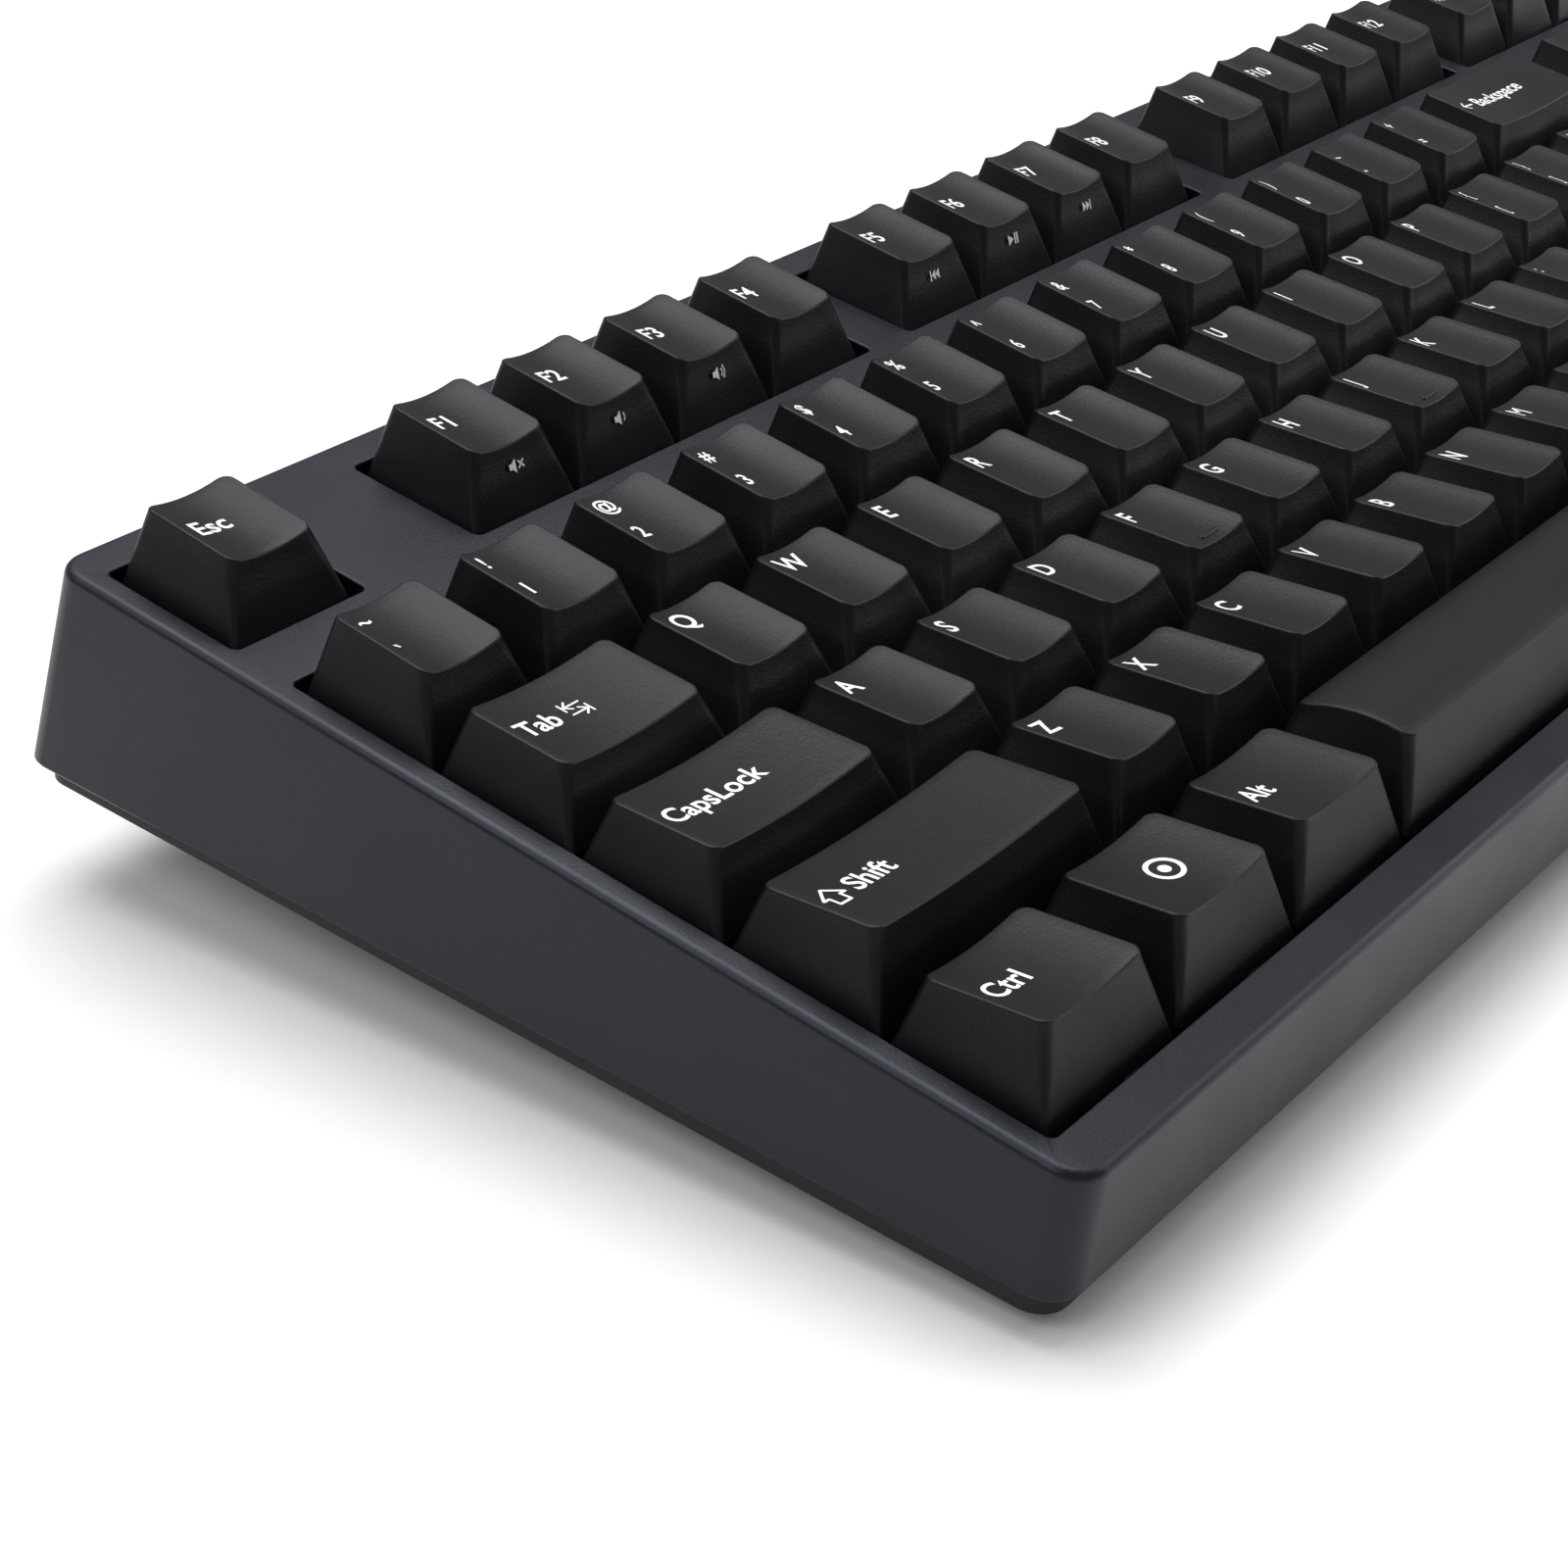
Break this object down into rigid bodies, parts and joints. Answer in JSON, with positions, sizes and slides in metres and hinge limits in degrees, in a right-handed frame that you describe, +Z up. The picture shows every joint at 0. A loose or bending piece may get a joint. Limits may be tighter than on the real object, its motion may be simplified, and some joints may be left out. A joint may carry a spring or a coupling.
{
  "type": "mechanical keyboard",
  "caption": "Tenkeyless keyboard with sculpted keycaps on plunger switches, a drafted wedge case and a rear USB inlet, standing on two opened flip feet.",
  "frame": {"origin": "centre of the footprint's bounding box, on the desk", "axes": "+X to the typist's right along the rows, +Y away from the typist, +Z up"},
  "size_m": [0.3592, 0.1397, 0.0462],
  "materials": {
    "case_plastic": "fine-grained matte black plastic",
    "base_plastic": "matte black plastic",
    "cap_plastic": "fine-grained matte near-black plastic with pale legends",
    "plate_steel": "black painted steel",
    "board_laminate": "green solder mask on laminate",
    "housing_plastic": "matte black nylon",
    "spring_steel": "bright spring steel",
    "contact_brass": "plain brass",
    "chip_plastic": "moulded black resin",
    "socket_steel": "plain formed steel",
    "screw_steel": "dark zinc steel",
    "foot_rubber": "black rubber"
  },
  "bodies": {
    "case": {"top_case": "case_plastic", "bottom_case": "base_plastic", "switch_plate": "plate_steel", "circuit_board": "board_laminate", "lower_housings": "housing_plastic", "upper_housings": "housing_plastic", "switch_springs": "spring_steel", "switch_contacts": "contact_brass", "stabilizer_housings": "housing_plastic", "stabilizer_wires": "spring_steel", "controller_chip": "chip_plastic", "usb_socket": "socket_steel", "case_screws": "screw_steel", "rubber_feet": "foot_rubber"},
    "flip_foot_left": {"flip_foot_left": "base_plastic"},
    "flip_foot_right": {"flip_foot_right": "base_plastic"},
    "key_escape": {"key_escape": "cap_plastic"},
    "key_f1": {"key_f1": "cap_plastic"},
    "key_f2": {"key_f2": "cap_plastic"},
    "key_f3": {"key_f3": "cap_plastic"},
    "key_f4": {"key_f4": "cap_plastic"},
    "key_grave": {"key_grave": "cap_plastic"},
    "key_1": {"key_1": "cap_plastic"},
    "key_2": {"key_2": "cap_plastic"},
    "key_3": {"key_3": "cap_plastic"},
    "key_4": {"key_4": "cap_plastic"},
    "key_5": {"key_5": "cap_plastic"},
    "key_backspace": {"key_backspace": "cap_plastic"},
    "key_tab": {"key_tab": "cap_plastic"},
    "key_q": {"key_q": "cap_plastic"},
    "key_w": {"key_w": "cap_plastic"},
    "key_e": {"key_e": "cap_plastic"},
    "key_r": {"key_r": "cap_plastic"},
    "key_t": {"key_t": "cap_plastic"},
    "key_caps_lock": {"key_caps_lock": "cap_plastic"},
    "key_a": {"key_a": "cap_plastic"},
    "key_s": {"key_s": "cap_plastic"},
    "key_d": {"key_d": "cap_plastic"},
    "key_f": {"key_f": "cap_plastic"},
    "key_g": {"key_g": "cap_plastic"},
    "key_enter": {"key_enter": "cap_plastic"},
    "key_left_shift": {"key_left_shift": "cap_plastic"},
    "key_z": {"key_z": "cap_plastic"},
    "key_x": {"key_x": "cap_plastic"},
    "key_c": {"key_c": "cap_plastic"},
    "key_v": {"key_v": "cap_plastic"},
    "key_b": {"key_b": "cap_plastic"},
    "key_right_shift": {"key_right_shift": "cap_plastic"},
    "key_left_ctrl": {"key_left_ctrl": "cap_plastic"},
    "key_left_menu_mark": {"key_left_menu_mark": "cap_plastic"},
    "key_left_alt": {"key_left_alt": "cap_plastic"},
    "key_space": {"key_space": "cap_plastic"},
    "keys_f5_to_f12": {"keys_f5_to_f12": "cap_plastic"},
    "keys_6_to_equals": {"keys_6_to_equals": "cap_plastic"},
    "keys_y_to_backslash": {"keys_y_to_backslash": "cap_plastic"},
    "keys_h_to_quote": {"keys_h_to_quote": "cap_plastic"},
    "keys_n_to_slash": {"keys_n_to_slash": "cap_plastic"},
    "keys_right_modifiers": {"keys_right_modifiers": "cap_plastic"},
    "keys_navigation": {"keys_navigation": "cap_plastic"},
    "keys_arrows": {"keys_arrows": "cap_plastic"}
  },
  "joints": [
    {"name": "flip_foot_left_hinge", "type": "hinge", "parent": "case", "child": "flip_foot_left", "pos_m": [-0.13183, 0.05046, 0.01326], "axis": [1, 0, 0], "range_deg": [-110, 0]},
    {"name": "flip_foot_right_hinge", "type": "hinge", "parent": "case", "child": "flip_foot_right", "pos_m": [0.13183, 0.05046, 0.01326], "axis": [1, 0, 0], "range_deg": [-110, 0]},
    {"name": "key_escape_press", "type": "slide", "parent": "case", "child": "key_escape", "axis": [0, -0.1564, 0.9877], "range_m": [-0.004, 0], "stiffness_N_per_m": 60, "springref_m": 0.006},
    {"name": "key_f1_press", "type": "slide", "parent": "case", "child": "key_f1", "axis": [0, -0.1564, 0.9877], "range_m": [-0.004, 0], "stiffness_N_per_m": 60, "springref_m": 0.006},
    {"name": "key_f2_press", "type": "slide", "parent": "case", "child": "key_f2", "axis": [0, -0.1564, 0.9877], "range_m": [-0.004, 0], "stiffness_N_per_m": 60, "springref_m": 0.006},
    {"name": "key_f3_press", "type": "slide", "parent": "case", "child": "key_f3", "axis": [0, -0.1564, 0.9877], "range_m": [-0.004, 0], "stiffness_N_per_m": 60, "springref_m": 0.006},
    {"name": "key_f4_press", "type": "slide", "parent": "case", "child": "key_f4", "axis": [0, -0.1564, 0.9877], "range_m": [-0.004, 0], "stiffness_N_per_m": 60, "springref_m": 0.006},
    {"name": "key_grave_press", "type": "slide", "parent": "case", "child": "key_grave", "axis": [0, -0.1564, 0.9877], "range_m": [-0.004, 0], "stiffness_N_per_m": 60, "springref_m": 0.006},
    {"name": "key_1_press", "type": "slide", "parent": "case", "child": "key_1", "axis": [0, -0.1564, 0.9877], "range_m": [-0.004, 0], "stiffness_N_per_m": 60, "springref_m": 0.006},
    {"name": "key_2_press", "type": "slide", "parent": "case", "child": "key_2", "axis": [0, -0.1564, 0.9877], "range_m": [-0.004, 0], "stiffness_N_per_m": 60, "springref_m": 0.006},
    {"name": "key_3_press", "type": "slide", "parent": "case", "child": "key_3", "axis": [0, -0.1564, 0.9877], "range_m": [-0.004, 0], "stiffness_N_per_m": 60, "springref_m": 0.006},
    {"name": "key_4_press", "type": "slide", "parent": "case", "child": "key_4", "axis": [0, -0.1564, 0.9877], "range_m": [-0.004, 0], "stiffness_N_per_m": 60, "springref_m": 0.006},
    {"name": "key_5_press", "type": "slide", "parent": "case", "child": "key_5", "axis": [0, -0.1564, 0.9877], "range_m": [-0.004, 0], "stiffness_N_per_m": 60, "springref_m": 0.006},
    {"name": "key_backspace_press", "type": "slide", "parent": "case", "child": "key_backspace", "axis": [0, -0.1564, 0.9877], "range_m": [-0.004, 0], "stiffness_N_per_m": 60, "springref_m": 0.006},
    {"name": "key_tab_press", "type": "slide", "parent": "case", "child": "key_tab", "axis": [0, -0.1564, 0.9877], "range_m": [-0.004, 0], "stiffness_N_per_m": 60, "springref_m": 0.006},
    {"name": "key_q_press", "type": "slide", "parent": "case", "child": "key_q", "axis": [0, -0.1564, 0.9877], "range_m": [-0.004, 0], "stiffness_N_per_m": 60, "springref_m": 0.006},
    {"name": "key_w_press", "type": "slide", "parent": "case", "child": "key_w", "axis": [0, -0.1564, 0.9877], "range_m": [-0.004, 0], "stiffness_N_per_m": 60, "springref_m": 0.006},
    {"name": "key_e_press", "type": "slide", "parent": "case", "child": "key_e", "axis": [0, -0.1564, 0.9877], "range_m": [-0.004, 0], "stiffness_N_per_m": 60, "springref_m": 0.006},
    {"name": "key_r_press", "type": "slide", "parent": "case", "child": "key_r", "axis": [0, -0.1564, 0.9877], "range_m": [-0.004, 0], "stiffness_N_per_m": 60, "springref_m": 0.006},
    {"name": "key_t_press", "type": "slide", "parent": "case", "child": "key_t", "axis": [0, -0.1564, 0.9877], "range_m": [-0.004, 0], "stiffness_N_per_m": 60, "springref_m": 0.006},
    {"name": "key_caps_lock_press", "type": "slide", "parent": "case", "child": "key_caps_lock", "axis": [0, -0.1564, 0.9877], "range_m": [-0.004, 0], "stiffness_N_per_m": 60, "springref_m": 0.006},
    {"name": "key_a_press", "type": "slide", "parent": "case", "child": "key_a", "axis": [0, -0.1564, 0.9877], "range_m": [-0.004, 0], "stiffness_N_per_m": 60, "springref_m": 0.006},
    {"name": "key_s_press", "type": "slide", "parent": "case", "child": "key_s", "axis": [0, -0.1564, 0.9877], "range_m": [-0.004, 0], "stiffness_N_per_m": 60, "springref_m": 0.006},
    {"name": "key_d_press", "type": "slide", "parent": "case", "child": "key_d", "axis": [0, -0.1564, 0.9877], "range_m": [-0.004, 0], "stiffness_N_per_m": 60, "springref_m": 0.006},
    {"name": "key_f_press", "type": "slide", "parent": "case", "child": "key_f", "axis": [0, -0.1564, 0.9877], "range_m": [-0.004, 0], "stiffness_N_per_m": 60, "springref_m": 0.006},
    {"name": "key_g_press", "type": "slide", "parent": "case", "child": "key_g", "axis": [0, -0.1564, 0.9877], "range_m": [-0.004, 0], "stiffness_N_per_m": 60, "springref_m": 0.006},
    {"name": "key_enter_press", "type": "slide", "parent": "case", "child": "key_enter", "axis": [0, -0.1564, 0.9877], "range_m": [-0.004, 0], "stiffness_N_per_m": 60, "springref_m": 0.006},
    {"name": "key_left_shift_press", "type": "slide", "parent": "case", "child": "key_left_shift", "axis": [0, -0.1564, 0.9877], "range_m": [-0.004, 0], "stiffness_N_per_m": 60, "springref_m": 0.006},
    {"name": "key_z_press", "type": "slide", "parent": "case", "child": "key_z", "axis": [0, -0.1564, 0.9877], "range_m": [-0.004, 0], "stiffness_N_per_m": 60, "springref_m": 0.006},
    {"name": "key_x_press", "type": "slide", "parent": "case", "child": "key_x", "axis": [0, -0.1564, 0.9877], "range_m": [-0.004, 0], "stiffness_N_per_m": 60, "springref_m": 0.006},
    {"name": "key_c_press", "type": "slide", "parent": "case", "child": "key_c", "axis": [0, -0.1564, 0.9877], "range_m": [-0.004, 0], "stiffness_N_per_m": 60, "springref_m": 0.006},
    {"name": "key_v_press", "type": "slide", "parent": "case", "child": "key_v", "axis": [0, -0.1564, 0.9877], "range_m": [-0.004, 0], "stiffness_N_per_m": 60, "springref_m": 0.006},
    {"name": "key_b_press", "type": "slide", "parent": "case", "child": "key_b", "axis": [0, -0.1564, 0.9877], "range_m": [-0.004, 0], "stiffness_N_per_m": 60, "springref_m": 0.006},
    {"name": "key_right_shift_press", "type": "slide", "parent": "case", "child": "key_right_shift", "axis": [0, -0.1564, 0.9877], "range_m": [-0.004, 0], "stiffness_N_per_m": 60, "springref_m": 0.006},
    {"name": "key_left_ctrl_press", "type": "slide", "parent": "case", "child": "key_left_ctrl", "axis": [0, -0.1564, 0.9877], "range_m": [-0.004, 0], "stiffness_N_per_m": 60, "springref_m": 0.006},
    {"name": "key_left_menu_mark_press", "type": "slide", "parent": "case", "child": "key_left_menu_mark", "axis": [0, -0.1564, 0.9877], "range_m": [-0.004, 0], "stiffness_N_per_m": 60, "springref_m": 0.006},
    {"name": "key_left_alt_press", "type": "slide", "parent": "case", "child": "key_left_alt", "axis": [0, -0.1564, 0.9877], "range_m": [-0.004, 0], "stiffness_N_per_m": 60, "springref_m": 0.006},
    {"name": "key_space_press", "type": "slide", "parent": "case", "child": "key_space", "axis": [0, -0.1564, 0.9877], "range_m": [-0.004, 0], "stiffness_N_per_m": 60, "springref_m": 0.006},
    {"name": "keys_f5_to_f12_press", "type": "slide", "parent": "case", "child": "keys_f5_to_f12", "axis": [0, -0.1564, 0.9877], "range_m": [-0.004, 0], "stiffness_N_per_m": 480, "springref_m": 0.006},
    {"name": "keys_6_to_equals_press", "type": "slide", "parent": "case", "child": "keys_6_to_equals", "axis": [0, -0.1564, 0.9877], "range_m": [-0.004, 0], "stiffness_N_per_m": 420, "springref_m": 0.006},
    {"name": "keys_y_to_backslash_press", "type": "slide", "parent": "case", "child": "keys_y_to_backslash", "axis": [0, -0.1564, 0.9877], "range_m": [-0.004, 0], "stiffness_N_per_m": 480, "springref_m": 0.006},
    {"name": "keys_h_to_quote_press", "type": "slide", "parent": "case", "child": "keys_h_to_quote", "axis": [0, -0.1564, 0.9877], "range_m": [-0.004, 0], "stiffness_N_per_m": 360, "springref_m": 0.006},
    {"name": "keys_n_to_slash_press", "type": "slide", "parent": "case", "child": "keys_n_to_slash", "axis": [0, -0.1564, 0.9877], "range_m": [-0.004, 0], "stiffness_N_per_m": 300, "springref_m": 0.006},
    {"name": "keys_right_modifiers_press", "type": "slide", "parent": "case", "child": "keys_right_modifiers", "axis": [0, -0.1564, 0.9877], "range_m": [-0.004, 0], "stiffness_N_per_m": 240, "springref_m": 0.006},
    {"name": "keys_navigation_press", "type": "slide", "parent": "case", "child": "keys_navigation", "axis": [0, -0.1564, 0.9877], "range_m": [-0.004, 0], "stiffness_N_per_m": 540, "springref_m": 0.006},
    {"name": "keys_arrows_press", "type": "slide", "parent": "case", "child": "keys_arrows", "axis": [0, -0.1564, 0.9877], "range_m": [-0.004, 0], "stiffness_N_per_m": 240, "springref_m": 0.006}
  ]
}
